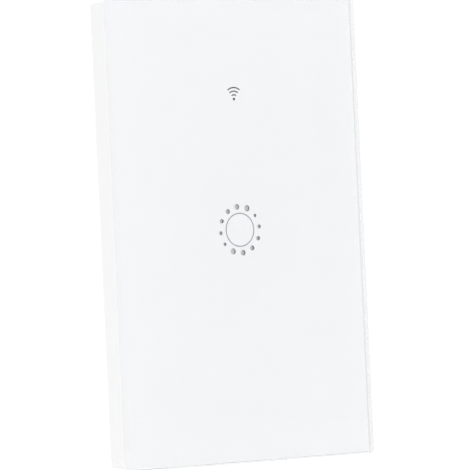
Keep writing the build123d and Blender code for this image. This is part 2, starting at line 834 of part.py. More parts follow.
def make_choke_core():
    spool = standing_disc(choke_radius, 0, choke_flange)
    spool += standing_disc(choke_radius, choke_height - choke_flange, choke_height)
    return choke_seat * (spool + standing_disc(choke_stem_radius, 0, choke_height))


def make_choke_winding():
    low = choke_flange + winding_fit
    high = choke_height - choke_flange - winding_fit
    winding = standing_disc(choke_radius - choke_winding_inset, low, high)
    return choke_seat * (winding - standing_disc(choke_stem_radius + winding_fit, low, high))


def make_rectifier_chip():
    leads = [-rectifier_length / 4, rectifier_length / 4]
    chip = make_gull_chip(
        rectifier_width, rectifier_length, rectifier_height, leads, chip_lead_width, rectifier_foot
    )
    x = right_x - choke_radius - part_gap - rectifier_foot - rectifier_width / 2
    return seat(x, board_back_depth, choke_z) * chip


# Terminal block: a pocket for each clamp cage, open below for the wire and behind for the screwdriver
def make_terminal_block():
    z = block_bottom + block_height / 2
    body = block(block_width, block_height, -block_back_depth, -board_back_depth, 0, z)
    body = chamfer(outer_edges(body, Axis.Y, True), block_edge_round)
    pocket_width = cage_width + 2 * cage_clearance
    pocket_height = block_mouth + cage_length + bar_end_gap
    pocket_z = block_bottom + pocket_height / 2
    slot_z = block_bottom + pocket_height + leg_slot / 2
    slot_width = cage_width - 2 * cage_wall
    slot_back = bar_back_depth + bar_clearance
    head_hole = clamp_screw_head_radius + clamp_fit
    for x in pole_places:
        body -= block(pocket_width, pocket_height, -pocket_back_depth, -pocket_front_depth, x, pocket_z)
        body -= block(slot_width, leg_slot, -slot_back, -board_back_depth, x, slot_z)
        body -= disc(clamp_screw_radius + clamp_fit, -block_back_depth, -pocket_back_depth, x, pole_z)
        body -= disc(head_hole, -block_back_depth, tip_gap - head_depth, x, pole_z)
    return body


# Each brass bar lies in its cage and turns down to the power board
def make_terminal_bars():
    width = cage_width - 2 * (cage_wall + bar_clearance)
    low = block_bottom + block_mouth
    leg_low = low + cage_length + bar_end_gap + bar_clearance
    high = leg_low + bar_leg
    bars = []
    for x in pole_places:
        bar = block(width, high - low, -bar_back_depth, -bar_front_depth, x, (low + high) / 2)
        leg = block(width, bar_leg, -bar_back_depth, -board_back_depth, x, leg_low + bar_leg / 2)
        bars.append(bar + leg)
    return bars


def make_clamp_cage(x):
    back = cage_front_depth + cage_depth
    cage = block(cage_width, cage_length, -back, -cage_front_depth, x, pole_z)
    cage = fillet(cage.edges().filter_by(Axis.Z), cage_bend)
    hole_front = cage_front_depth + cage_front
    hole_back = hole_front + cage_inner_depth
    cage -= block(cage_width - 2 * cage_wall, cage_length, -hole_back, -hole_front, x, pole_z)
    return cage - disc(clamp_screw_radius + clamp_fit, -back, -hole_back, x, pole_z)


def make_clamp_screw(x):
    head_back = head_depth + clamp_screw_head_height
    screw = disc(clamp_screw_radius, -head_depth, -bar_back_depth - tip_gap, x, pole_z)
    screw += disc(clamp_screw_head_radius, -head_back, -head_depth, x, pole_z)
    slot_low = clamp_screw_slot_depth - head_back
    return screw - block(2 * clamp_screw_head_radius, clamp_screw_slot, -head_back, slot_low, x, pole_z)


pieces = {
    "glass_panel": make_glass_panel(),
    "printed_backing": make_printed_backing(),
    "adhesive_frame": make_adhesive_frame(),
    "panel_tray": make_panel_tray(),
    "base_frame": make_base_frame(),
    "mounting_yoke": make_mounting_yoke(),
    "rear_housing": make_rear_housing(),
    "assembly_screws": make_assembly_screws(),
    "board_screws": make_board_screws(),
    "touch_board": make_touch_board(),
    "key_light_guide": make_key_light_guide(),
    "signal_light_guide": make_signal_light_guide(),
    "indicator_leds": make_indicator_leds(),
    "touch_spring": make_touch_spring(),
    "wireless_module": make_wireless_module(),
    "module_shield": make_module_shield(),
    "touch_chip": make_touch_chip(),
    "header_socket": make_header_socket(),
    "header_strip": make_header_strip(),
    "header_pins": make_header_pins(),
    "power_board": make_power_board(),
    "relay_base": make_relay_base(),
    "relay_case": make_relay_case(),
    "relay_frame": make_relay_frame(),
    "relay_core": make_relay_core(),
    "relay_bobbin": make_relay_bobbin(),
    "relay_winding": make_relay_winding(),
    "relay_armature": make_relay_armature(),
    "relay_contact_leaf": make_relay_contact_leaf(),
    "relay_fixed_contact": make_relay_fixed_contact(),
    "safety_capacitor": make_safety_capacitor(),
    "varistor": make_varistor(),
    "fuse_resistor": make_fuse_resistor(),
    "filter_capacitors": make_filter_capacitors(),
    "transformer_core": make_transformer_core(),
    "transformer_bobbin": make_transformer_bobbin(),
    "transformer_winding": make_transformer_winding(),
    "choke_core": make_choke_core(),
    "choke_winding": make_choke_winding(),
    "rectifier_chip": make_rectifier_chip(),
    "terminal_block": make_terminal_block(),
    "terminal_bars": make_terminal_bars(),
}
for number, pole_x in enumerate(pole_places, 1):
    pieces[f"clamp_cage_{number}"] = make_clamp_cage(pole_x)
    pieces[f"clamp_screw_{number}"] = make_clamp_screw(pole_x)

os.makedirs("parts", exist_ok=True)
for name, shape in pieces.items():
    solid = Compound(children=shape) if isinstance(shape, list) else shape
    export_step(solid, f"parts/{name}.step")

hinge_depth = board_back_depth + hinge_height
print(f"relay hinge at x {relay_x:.3f}, depth {hinge_depth:.3f}, z {relay_z - hinge_y:.3f}")
wire_front_depth = cage_front_depth + cage_front
print(f"terminal poles at {pole_places}, z {pole_z:.3f}, block bottom {block_bottom:.3f}")
print(f"wire space {wire_front_depth:.3f} to {bar_front_depth:.3f} deep, glass face {glass_front:.3f} out")
print(f"housing {housing_width:.2f} x {housing_height:.2f} x {housing_depth:.2f}")
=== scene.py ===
import json
import math

import bmesh
import bpy
from mathutils import Euler, Matrix, Vector


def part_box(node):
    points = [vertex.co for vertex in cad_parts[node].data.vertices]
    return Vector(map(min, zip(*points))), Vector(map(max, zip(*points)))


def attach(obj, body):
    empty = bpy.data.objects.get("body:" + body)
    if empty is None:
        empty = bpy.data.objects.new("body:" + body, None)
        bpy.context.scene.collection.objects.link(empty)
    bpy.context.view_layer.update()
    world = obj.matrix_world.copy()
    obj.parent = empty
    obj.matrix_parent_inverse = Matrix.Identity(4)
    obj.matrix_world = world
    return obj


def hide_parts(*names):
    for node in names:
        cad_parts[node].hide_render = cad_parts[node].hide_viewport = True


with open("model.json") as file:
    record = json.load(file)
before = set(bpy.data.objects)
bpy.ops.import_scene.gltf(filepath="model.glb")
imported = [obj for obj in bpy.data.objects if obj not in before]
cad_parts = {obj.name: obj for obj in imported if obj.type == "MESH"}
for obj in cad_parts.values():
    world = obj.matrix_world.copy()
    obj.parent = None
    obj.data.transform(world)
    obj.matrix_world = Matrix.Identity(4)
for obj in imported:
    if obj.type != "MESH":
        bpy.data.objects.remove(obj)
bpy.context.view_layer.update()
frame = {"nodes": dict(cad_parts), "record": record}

cadNodes = frame["nodes"]
scene = bpy.context.scene
mm = 0.001
print("frame loaded:", len(cadNodes), "nodes")


# places read from the solids, in metres
glassLow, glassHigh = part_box("glass_panel")
sheetLow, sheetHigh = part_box("printed_backing")
faceY = glassLow.y
glassBackY = glassHigh.y
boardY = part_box("touch_board")[0].y
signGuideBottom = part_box("signal_light_guide")[0].z


photoCamera = {
    "turn": 33.23,  # degrees round to the left of straight on
    "tilt": 0.11,
    "roll": 2.65,
    "distance": 1.122,
    "aimRight": 2.65 * mm,
    "aimUp": 1.25 * mm,
    "focalPixels": 4365,
    "framePixels": 470,
    "sensorWidth": 36,
    "nearest": 0.05,
    "farthest": 20,
}


def makeCamera(look):
    turn, tilt, roll = (math.radians(look[k]) for k in ("turn", "tilt", "roll"))
    right = Vector((math.cos(turn), -math.sin(turn), 0))
    up = Vector((math.sin(turn) * math.sin(tilt), math.cos(turn) * math.sin(tilt), math.cos(tilt)))
    ahead = Vector((math.sin(turn) * math.cos(tilt), math.cos(turn) * math.cos(tilt), -math.sin(tilt)))
    target = Vector((0, faceY, 0)) - look["aimRight"] * right - look["aimUp"] * up
    place = target - look["distance"] * ahead
    rolledRight = math.cos(roll) * right - math.sin(roll) * up
    rolledUp = math.sin(roll) * right + math.cos(roll) * up
    camera = bpy.data.cameras.new("photoCamera")
    camera.sensor_width = look["sensorWidth"]
    camera.lens = look["focalPixels"] * look["sensorWidth"] / look["framePixels"]
    camera.clip_start = look["nearest"]
    camera.clip_end = look["farthest"]
    holder = bpy.data.objects.new("photoCamera", camera)
    axes = Matrix((rolledRight, rolledUp, -ahead)).transposed().to_4x4()
    holder.matrix_world = Matrix.Translation(place) @ axes
    scene.collection.objects.link(holder)
    scene.camera = holder


def startFinish(name):
    finish = bpy.data.materials.new(name)
    finish.use_nodes = True
    return finish, finish.node_tree, finish.node_tree.nodes["Principled BSDF"]


def addNode(tree, kind, values=None, **settings):
    node = tree.nodes.new(kind)
    for key, value in settings.items():
        setattr(node, key, value)
    for key, value in (values or {}).items():
        node.inputs[key].default_value = value
    return node


# plain numbers are set on a node's inputs, and outputs of other nodes are linked to them
def feed(tree, node, values):
    for socket, value in zip(node.inputs, values):
        if isinstance(value, (int, float)):
            socket.default_value = value
        else:
            tree.links.new(value, socket)
    return node.outputs[0]


def mathNode(tree, operation, *values):
    return feed(tree, addNode(tree, "ShaderNodeMath", operation=operation), values)


def vectorOf(tree, x=0.0, y=0.0, z=0.0):
    return feed(tree, tree.nodes.new("ShaderNodeCombineXYZ"), (x, y, z))


def splitVector(tree, vector):
    node = tree.nodes.new("ShaderNodeSeparateXYZ")
    tree.links.new(vector, node.inputs[0])
    return node.outputs


# coordinates of the piece itself, stretched where a finish has a direction
def pieceCoords(tree, stretch=(1, 1, 1)):
    coords = addNode(tree, "ShaderNodeTexCoord")
    mapping = addNode(tree, "ShaderNodeMapping", {"Scale": stretch})
    tree.links.new(coords.outputs["Object"], mapping.inputs["Vector"])
    return mapping.outputs["Vector"]


def grainOf(tree, coords, size, detail=2.0, rough=0.5):
    grain = addNode(tree, "ShaderNodeTexNoise", {"Scale": 1 / size, "Detail": detail, "Roughness": rough})
    tree.links.new(coords, grain.inputs["Vector"])
    return grain.outputs[0]


# a value taken from one range to another
def spread(tree, source, low, high, fromLow=0.3, fromHigh=0.7):
    ends = {"From Min": fromLow, "From Max": fromHigh, "To Min": low, "To Max": high}
    span = addNode(tree, "ShaderNodeMapRange", ends)
    tree.links.new(source, span.inputs["Value"])
    return span.outputs["Result"]


# sockets 6, 7 and 2 of a mix are its colours
def blendColours(tree, factor, first, second):
    mix = addNode(tree, "ShaderNodeMix", data_type="RGBA")
    tree.links.new(factor, mix.inputs[0])
    for socket, colour in ((mix.inputs[6], first), (mix.inputs[7], second)):
        if isinstance(colour, tuple):
            socket.default_value = (*colour, 1)
        else:
            tree.links.new(colour, socket)
    return mix.outputs[2]


# relief on a surface whose edges are eased by a small radius
def addBump(tree, shader, height, strength, distance, edge=0.0):
    bump = addNode(tree, "ShaderNodeBump", {"Strength": strength, "Distance": distance})
    tree.links.new(height, bump.inputs["Height"])
    if edge:
        ease = addNode(tree, "ShaderNodeBevel", {"Radius": edge}, samples=6)
        tree.links.new(ease.outputs[0], bump.inputs["Normal"])
    tree.links.new(bump.outputs[0], shader.inputs["Normal"])


fullWhite = (1, 1, 1, 1)
studio = {
    "brightSide": (-0.6, -0.75, 0.28),  # most light comes from the front left
    "brightLevel": 1.09,
    "dimLevel": 0.786,
    "backdrop": 1.02,
    "bounces": 24,  # light goes to and fro many times between the glass and the print
    "lamps": {
        "topSoftbox": {"at": (0.2, 0.3, 1.4), "size": 1.4, "watts": 0.6},
        "backSoftbox": {"at": (1.1, 0.7, 0.8), "size": 0.5, "watts": 1.1},
    },
    "floorRadius": 0.3,
    "floorCentre": (-0.155, -0.215),  # reaches out to the front left and ends close behind the switch
    "floorSides": 96,
    "floorTone": (0.93, 0.93, 0.93),
    "floorPaler": 1.01,
    "floorClouds": 0.3,
    "floorRoughness": 0.8,
    "floorBounce": 0.109,  # light that the floor adds to the switch
    "floorGlow": 0.45,  # lifts the seen floor to the backdrop's white
}


def makeWorld(look):
    world = bpy.data.worlds.new("studioWorld")
    scene.world = world
    world.use_nodes = True
    tree = world.node_tree
    tree.nodes.clear()
    around = addNode(tree, "ShaderNodeTexCoord")
    towards = addNode(tree, "ShaderNodeVectorMath", operation="DOT_PRODUCT")
    towards.inputs[1].default_value = Vector(look["brightSide"]).normalized()
    tree.links.new(around.outputs["Generated"], towards.inputs[0])
    surround = addNode(tree, "ShaderNodeBackground", {"Color": fullWhite})
    side = towards.outputs["Value"]
    level = spread(tree, side, look["dimLevel"], look["brightLevel"], fromLow=-1, fromHigh=1)
    tree.links.new(level, surround.inputs["Strength"])
    backdrop = addNode(tree, "ShaderNodeBackground", {"Color": fullWhite, "Strength": look["backdrop"]})
    path = tree.nodes.new("ShaderNodeLightPath")
    mix = tree.nodes.new("ShaderNodeMixShader")
    out = tree.nodes.new("ShaderNodeOutputWorld")
    tree.links.new(path.outputs["Is Camera Ray"], mix.inputs[0])
    tree.links.new(surround.outputs[0], mix.inputs[1])
    tree.links.new(backdrop.outputs[0], mix.inputs[2])
    tree.links.new(mix.outputs[0], out.inputs[0])
    cycles = scene.cycles
    cycles.max_bounces = cycles.diffuse_bounces = look["bounces"]
    cycles.glossy_bounces = cycles.transmission_bounces = look["bounces"]
    cycles.blur_glossy = 0.0  # keeps reflections in the glass sharp


def makeLamps(lamps):
    for name, lamp in lamps.items():
        light = bpy.data.lights.new(name, "AREA")
        light.shape = "DISK"
        light.size = lamp["size"]
        light.energy = lamp["watts"]
        holder = bpy.data.objects.new(name, light)
        place = Vector(lamp["at"])
        facing = place.to_track_quat("Z", "Y").to_matrix().to_4x4()  # towards the switch
        holder.matrix_world = Matrix.Translation(place) @ facing
        scene.collection.objects.link(holder)


def makeFloor(look):
    shape = bmesh.new()
    disc = {"segments": look["floorSides"], "radius": look["floorRadius"]}
    bmesh.ops.create_circle(shape, cap_ends=True, **disc)
    mesh = bpy.data.meshes.new("studioFloor")
    shape.to_mesh(mesh)
    shape.free()
    mesh.transform(Matrix.Translation((*look["floorCentre"], glassLow.z)))
    floor = bpy.data.objects.new("studioFloor", mesh)
    scene.collection.objects.link(floor)
    finish, tree, shader = startFinish("studioFloor")
    tone = spread(tree, grainOf(tree, pieceCoords(tree), look["floorClouds"]), 0, 1)
    paler = tuple(c * look["floorPaler"] for c in look["floorTone"])
    tree.links.new(blendColours(tree, tone, look["floorTone"], paler), shader.inputs["Base Color"])
    shader.inputs["Roughness"].default_value = look["floorRoughness"]
    shader.inputs["Emission Color"].default_value = fullWhite
    path = tree.nodes.new("ShaderNodeLightPath")
    seen = path.outputs["Is Camera Ray"]
    glow = spread(tree, seen, look["floorBounce"], look["floorGlow"], fromLow=0, fromHigh=1)
    tree.links.new(glow, shader.inputs["Emission Strength"])
    mesh.materials.append(finish)


# moulded plastic: an even spark-eroded grain and slow drift of tone
def mouldedPlastic(name, colour, shade, roughness=0.45, grain=0.00018, relief=0.12, drift=0.012,
                   edge=0.0001, patchy=0.06, ior=1.5):
    finish, tree, shader = startFinish(name)
    coords = pieceCoords(tree)
    tone = spread(tree, grainOf(tree, coords, drift), 0, 1)
    tree.links.new(blendColours(tree, tone, colour, shade), shader.inputs["Base Color"])
    skin = grainOf(tree, coords, grain, detail=3.0, rough=0.6)
    tree.links.new(spread(tree, skin, roughness - patchy, roughness + patchy), shader.inputs["Roughness"])
    shader.inputs["IOR"].default_value = ior
    addBump(tree, shader, skin, strength=relief, distance=grain * 0.2, edge=edge)
    return finish


# plated or bare metal: rolling lines along one way, cloudy plating over them
def platedMetal(name, colour, shade, roughness=0.32, lines=0.00025, rolled=(1, 1, 0.06),
                edge=0.00006, clouds=0.004, patchy=0.1):
    finish, tree, shader = startFinish(name)
    scratch = grainOf(tree, pieceCoords(tree, rolled), lines, detail=3.0, rough=0.65)
    tone = spread(tree, grainOf(tree, pieceCoords(tree), clouds, detail=3.0, rough=0.6), 0, 1)
    tree.links.new(blendColours(tree, tone, colour, shade), shader.inputs["Base Color"])
    shader.inputs["Metallic"].default_value = 1.0
    wear = spread(tree, scratch, roughness - patchy, roughness + patchy)
    tree.links.new(wear, shader.inputs["Roughness"])
    addBump(tree, shader, scratch, strength=0.08, distance=lines * 0.2, edge=edge)
    return finish


# a wave texture of scale 1 repeats every pi / 10
def bandScale(pitch):
    return math.pi / (10 * pitch)


# solder mask over a laminate: the glass weave shows faintly through the lacquer
def solderMask(name, colour, shade, weave=0.00045, drift=0.006):
    finish, tree, shader = startFinish(name)
    coords = pieceCoords(tree)
    sizes = {"Scale": bandScale(weave), "Distortion": 0.6, "Detail": 1.0}
    yarns = []
    for way in "XZ":
        yarn = addNode(tree, "ShaderNodeTexWave", sizes, bands_direction=way)
        tree.links.new(coords, yarn.inputs["Vector"])
        yarns.append(yarn.outputs["Fac"])
    cloth = mathNode(tree, "MAXIMUM", *yarns)
    tone = spread(tree, grainOf(tree, coords, drift), 0, 1)
    woven = blendColours(tree, cloth, colour, shade)
    tree.links.new(blendColours(tree, tone, colour, woven), shader.inputs["Base Color"])
    tree.links.new(spread(tree, grainOf(tree, coords, drift / 6), 0.22, 0.36), shader.inputs["Roughness"])
    addBump(tree, shader, cloth, strength=0.12, distance=0.00002)
    return finish


# enamelled wire laid turn by turn along one axis, with painted shade in the grooves between turns
def woundWire(name, colour, shade, axis="Y", pitch=0.00034, clouds=0.0015):
    finish, tree, shader = startFinish(name)
    coords = pieceCoords(tree)
    sizes = {"Scale": bandScale(pitch), "Distortion": 0.3, "Detail": 1.0}
    turns = addNode(tree, "ShaderNodeTexWave", sizes, bands_direction=axis, wave_profile="SIN")
    tree.links.new(coords, turns.inputs["Vector"])
    tone = spread(tree, grainOf(tree, coords, clouds), 0, 1)
    wire = blendColours(tree, tone, colour, shade)
    # the grooves between turns take the darker colour: painted shade
    tree.links.new(blendColours(tree, turns.outputs["Fac"], shade, wire), shader.inputs["Base Color"])
    shader.inputs["Metallic"].default_value = 0.85
    tree.links.new(spread(tree, tone, 0.22, 0.38, fromLow=0, fromHigh=1), shader.inputs["Roughness"])
    addBump(tree, shader, turns.outputs["Fac"], strength=0.6, distance=0.00006)
    return finish


# clear plate glass: polished faces, finely ground edges, a tint that shows only along the sheet
def plateGlass(name, colour, tint, density=2.2, ior=1.5, edgeRoughness=0.03, grain=0.0004):
    finish, tree, shader = startFinish(name)
    shader.inputs["Base Color"].default_value = (*colour, 1)
    shader.inputs["IOR"].default_value = ior
    shader.inputs["Transmission Weight"].default_value = 1.0
    coords = addNode(tree, "ShaderNodeTexCoord")
    across = mathNode(tree, "ABSOLUTE", splitVector(tree, coords.outputs["Normal"])["Y"])
    polish = spread(tree, across, edgeRoughness, 0.0, fromLow=0.75, fromHigh=0.95)
    grind = spread(tree, grainOf(tree, pieceCoords(tree), grain), 0.85, 1.15)
    tree.links.new(mathNode(tree, "MULTIPLY", polish, grind), shader.inputs["Roughness"])
    body = addNode(tree, "ShaderNodeVolumeAbsorption", {"Color": (*tint, 1), "Density": density})
    tree.links.new(body.outputs[0], tree.nodes["Material Output"].inputs["Volume"])
    return finish


# translucent pieces: light guides and lamp resin
def milkyResin(name, colour, shade, milk, drift, reach=0.001):
    finish, tree, shader = startFinish(name)
    coords = pieceCoords(tree)
    tone = spread(tree, grainOf(tree, coords, drift), 0, 1)
    tree.links.new(blendColours(tree, tone, colour, shade), shader.inputs["Base Color"])
    shader.inputs["Subsurface Weight"].default_value = milk
    shader.inputs["Subsurface Radius"].default_value = (reach, reach, reach)
    shader.inputs["Subsurface Scale"].default_value = 1.0
    tree.links.new(spread(tree, grainOf(tree, coords, drift / 10), 0.18, 0.3), shader.inputs["Roughness"])
    addBump(tree, shader, grainOf(tree, coords, drift / 8), strength=0.04, distance=0.00002)
    return finish


# foam tape: open cells, darker in their hollows as painted shade, and a papery skin
def foamTape(name, colour, shade, cell):
    finish, tree, shader = startFinish(name)
    cells = addNode(tree, "ShaderNodeTexVoronoi", {"Scale": 1 / cell})
    tree.links.new(pieceCoords(tree), cells.inputs["Vector"])
    tone = spread(tree, cells.outputs["Distance"], 0, 1, fromLow=0.1, fromHigh=0.6)
    # the cell hollows take the darker colour: painted shade in the pores
    tree.links.new(blendColours(tree, tone, shade, colour), shader.inputs["Base Color"])
    shader.inputs["Roughness"].default_value = 0.9
    addBump(tree, shader, cells.outputs["Distance"], strength=0.4, distance=cell * 0.3)
    return finish


# screen print: even ink with the faint mesh of the screen in it
def screenPrint(name, colour, shade, drift=0.03, mesh=0.0001):
    finish, tree, shader = startFinish(name)
    coords = pieceCoords(tree)
    tone = spread(tree, grainOf(tree, coords, drift), 0, 1)
    tree.links.new(blendColours(tree, tone, colour, shade), shader.inputs["Base Color"])
    weave = grainOf(tree, coords, mesh, detail=1.0)
    tree.links.new(spread(tree, weave, 0.5, 0.62), shader.inputs["Roughness"])
    addBump(tree, shader, weave, strength=0.05, distance=0.00001)
    return finish


# one finish for each material slot of the record, and four more for marks, tracks and the dark guide
finishes = {
    "glass": plateGlass("plateGlass", (0.995, 0.997, 0.998), (0.3, 0.4, 0.4)),
    "white_print": screenPrint("whitePrint", (0.966, 0.966, 0.9745), (0.964, 0.964, 0.9725)),
    "tape_foam": foamTape("foamTape", (0.83, 0.83, 0.81), (0.62, 0.62, 0.6), cell=0.00025),
    "panel_plastic": mouldedPlastic("panelPlastic", (0.9, 0.9, 0.89), (0.87, 0.87, 0.86)),
    "frame_plastic": mouldedPlastic("framePlastic", (0.928, 0.928, 0.927), (0.914, 0.914, 0.913), 0.4),
    "housing_plastic": mouldedPlastic(
        "housingPlastic", (0.76, 0.76, 0.745), (0.73, 0.73, 0.715), 0.5, grain=0.00022, relief=0.2),
    "yoke_steel": platedMetal("yokeSteel", (0.68, 0.69, 0.7), (0.55, 0.57, 0.6), 0.34),
    "screw_steel": platedMetal("screwSteel", (0.7, 0.69, 0.66), (0.55, 0.55, 0.54), 0.3, lines=0.0001),
    "touch_laminate": solderMask("touchLaminate", (0.025, 0.15, 0.07), (0.035, 0.2, 0.09)),
    "power_laminate": solderMask("powerLaminate", (0.03, 0.17, 0.07), (0.04, 0.23, 0.09)),
    "module_laminate": solderMask("moduleLaminate", (0.02, 0.05, 0.16), (0.03, 0.08, 0.22), drift=0.004),
    "light_guide": milkyResin("lightGuide", (0.8, 0.81, 0.82), (0.74, 0.755, 0.77), milk=0.3, drift=0.003),
    "led_resin": milkyResin("lampResin", (0.9, 0.82, 0.45), (0.92, 0.88, 0.7), milk=0.3, drift=0.0006),
    "spring_wire": platedMetal(
        "springWire", (0.78, 0.78, 0.77), (0.6, 0.6, 0.6), 0.22, lines=0.00008, rolled=(1, 1, 1), edge=0),
    "shield_tin": platedMetal("shieldTin", (0.76, 0.76, 0.75), (0.65, 0.66, 0.67), 0.26),
    "chip_resin": mouldedPlastic(
        "chipResin", (0.02, 0.02, 0.022), (0.03, 0.03, 0.03), 0.55, grain=0.0001, relief=0.3, drift=0.002),
    "header_plastic": mouldedPlastic(
        "headerPlastic", (0.025, 0.025, 0.025), (0.035, 0.035, 0.035), 0.4, grain=0.0001),
    "pin_metal": platedMetal("pinGold", (0.85, 0.65, 0.27), (0.75, 0.55, 0.2), 0.2, lines=0.0001),
    "relay_plastic": mouldedPlastic("relayPlastic", (0.03, 0.09, 0.3), (0.025, 0.07, 0.25), 0.35),
    "relay_steel": platedMetal("relaySteel", (0.65, 0.64, 0.62), (0.52, 0.52, 0.51), 0.3),
    "bobbin_plastic": mouldedPlastic("bobbinPlastic", (0.05, 0.05, 0.05), (0.07, 0.07, 0.07)),
    "copper_winding": woundWire("copperWinding", (0.72, 0.33, 0.13), (0.5, 0.2, 0.08)),
    "contact_metal": platedMetal("contactMetal", (0.78, 0.6, 0.32), (0.68, 0.5, 0.26), 0.25, lines=0.0001),
    "film_cap_case": mouldedPlastic("filmCapCase", (0.72, 0.5, 0.05), (0.66, 0.45, 0.04), 0.4),
    "varistor_coating": mouldedPlastic(
        "varistorCoating", (0.05, 0.16, 0.42), (0.04, 0.13, 0.36), 0.35, grain=0.0005),
    "fuse_coating": mouldedPlastic(
        "fuseCoating", (0.16, 0.33, 0.2), (0.13, 0.28, 0.17), 0.35, grain=0.0003, relief=0.2),
    "can_sleeve": mouldedPlastic(
        "canSleeve", (0.03, 0.035, 0.05), (0.04, 0.045, 0.06), 0.3, grain=0.0003, relief=0.05),
    "ferrite": mouldedPlastic(
        "ferrite", (0.06, 0.06, 0.062), (0.1, 0.1, 0.1), 0.6, grain=0.00012, relief=0.4, drift=0.001),
    "terminal_plastic": mouldedPlastic("terminalPlastic", (0.03, 0.03, 0.031), (0.045, 0.045, 0.046), 0.5),
    "terminal_brass": platedMetal("terminalBrass", (0.8, 0.6, 0.28), (0.68, 0.48, 0.2), 0.28),
}
inkGrey = screenPrint("inkGrey", (0.31, 0.32, 0.34), (0.28, 0.29, 0.31), drift=0.002)
# near-black light-blocking ink: a real layer on the sheet's back, and painted shade where it lines the
# window walls
blockInkAndWallShade = screenPrint("blockInkAndWallShade", (0.06, 0.062, 0.065), (0.045, 0.047, 0.05), drift=0.004)
smokedGuide = milkyResin("smokedGuide", (0.3, 0.31, 0.32), (0.26, 0.27, 0.28), milk=0.3, drift=0.003)
maskOverCopper = solderMask("maskOverCopper", (0.06, 0.27, 0.12), (0.08, 0.32, 0.14))
print("finishes made:", len(finishes), "for the slots, and four more")

for part in frame["record"]["subparts"]:
    mesh = cadNodes[part["node"]].data
    mesh.materials.clear()
    mesh.materials.append(finishes[part["material_slot"]])
cadNodes["signal_light_guide"].data.materials[0] = smokedGuide


# an empty tree with an input for each named size
def startTree(name, inputs):
    tree = bpy.data.node_groups.new(name, "GeometryNodeTree")
    tree.is_modifier = True
    tree.interface.new_socket("Geometry", in_out="INPUT", socket_type="NodeSocketGeometry")
    sockets = {}
    for label, value in inputs.items():
        kind = "NodeSocketInt" if isinstance(value, int) else "NodeSocketFloat"
        sockets[label] = tree.interface.new_socket(label, in_out="INPUT", socket_type=kind)
    tree.interface.new_socket("Geometry", in_out="OUTPUT", socket_type="NodeSocketGeometry")
    given = tree.nodes.new("NodeGroupInput")
    result = tree.nodes.new("NodeGroupOutput")
    return tree, sockets, given.outputs, result


# a tree ends in realised instances with their finish, and a second finish on chosen faces
def endTree(tree, geometry, result, finish, chosen=None, chosenFinish=None):
    real = tree.nodes.new("GeometryNodeRealizeInstances")
    tree.links.new(geometry, real.inputs[0])
    paint = addNode(tree, "GeometryNodeSetMaterial", {"Material": finish})
    tree.links.new(real.outputs[0], paint.inputs["Geometry"])
    if chosen is not None:
        first = paint
        paint = addNode(tree, "GeometryNodeSetMaterial", {"Material": chosenFinish})
        tree.links.new(first.outputs[0], paint.inputs["Geometry"])
        tree.links.new(chosen, paint.inputs["Selection"])
    tree.links.new(paint.outputs[0], result.inputs[0])


# the tree's result as a plain mesh, with the modifier taken off again
def runTree(name, tree, sockets, values, startMesh=None):
    piece = bpy.data.objects.new(name, startMesh or bpy.data.meshes.new(name))
    scene.collection.objects.link(piece)
    modifier = piece.modifiers.new("shape", "NODES")
    modifier.node_group = tree
    for label, socket in sockets.items():
        modifier[socket.identifier] = values[label]
    shown = piece.evaluated_get(bpy.context.evaluated_depsgraph_get())
    mesh = bpy.data.meshes.new_from_object(shown)
    mesh.name = name
    piece.modifiers.clear()
    piece.data = mesh
    return piece


# a copy of a solid with its triangles joined up, for cutting
def mergedCopy(node, reach=1e-7):
    mesh = cadNodes[node].data.copy()
    shape = bmesh.new()
    shape.from_mesh(mesh)
    bmesh.ops.remove_doubles(shape, verts=shape.verts, dist=reach)
    shape.to_mesh(mesh)
    shape.free()
    mesh.materials.clear()
    return mesh


def moved(tree, geometry, place, turn=(0, 0, 0)):
    node = addNode(tree, "GeometryNodeTransform", {"Rotation": Euler(turn)})
    tree.links.new(geometry, node.inputs["Geometry"])
    tree.links.new(place, node.inputs["Translation"])
    return node.outputs[0]


def boxOf(tree, length, height, width):
    node = tree.nodes.new("GeometryNodeMeshCube")
    tree.links.new(vectorOf(tree, length, height, width), node.inputs["Size"])
    return node.outputs["Mesh"]


def joined(tree, *parts):
    node = tree.nodes.new("GeometryNodeJoinGeometry")
    for part in parts:
        tree.links.new(part, node.inputs[0])
    return node.outputs[0]


# a flat strip of even width along a curve
def stripAlong(tree, curve, width, thickness):
    flat = addNode(tree, "GeometryNodeSetCurveNormal", mode="Z_UP")
    tree.links.new(curve, flat.inputs["Curve"])
    section = tree.nodes.new("GeometryNodeCurvePrimitiveQuadrilateral")
    tree.links.new(width, section.inputs["Width"])
    tree.links.new(thickness, section.inputs["Height"])
    strip = addNode(tree, "GeometryNodeCurveToMesh", {"Fill Caps": True})
    tree.links.new(flat.outputs[0], strip.inputs["Curve"])
    tree.links.new(section.outputs[0], strip.inputs["Profile Curve"])
    return strip.outputs[0]


def cutAway(tree, geometry, cutters):
    solid = tree.nodes.new("GeometryNodeRealizeInstances")
    tree.links.new(cutters, solid.inputs[0])
    cut = addNode(tree, "GeometryNodeMeshBoolean", operation="DIFFERENCE", solver="EXACT")
    cut.inputs["Self Intersection"].default_value = True
    tree.links.new(geometry, cut.inputs["Mesh 1"])
    tree.links.new(solid.outputs[0], cut.inputs["Mesh 2"])
    return cut.outputs["Mesh"]


# a piece rides on its body and may stand for solids
def settle(piece, body, slot, *nodes):
    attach(piece, body)
    if nodes:
        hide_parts(*nodes)
    return piece


upright = (math.pi / 2, 0, 0)  # turns what is made lying flat to face the front

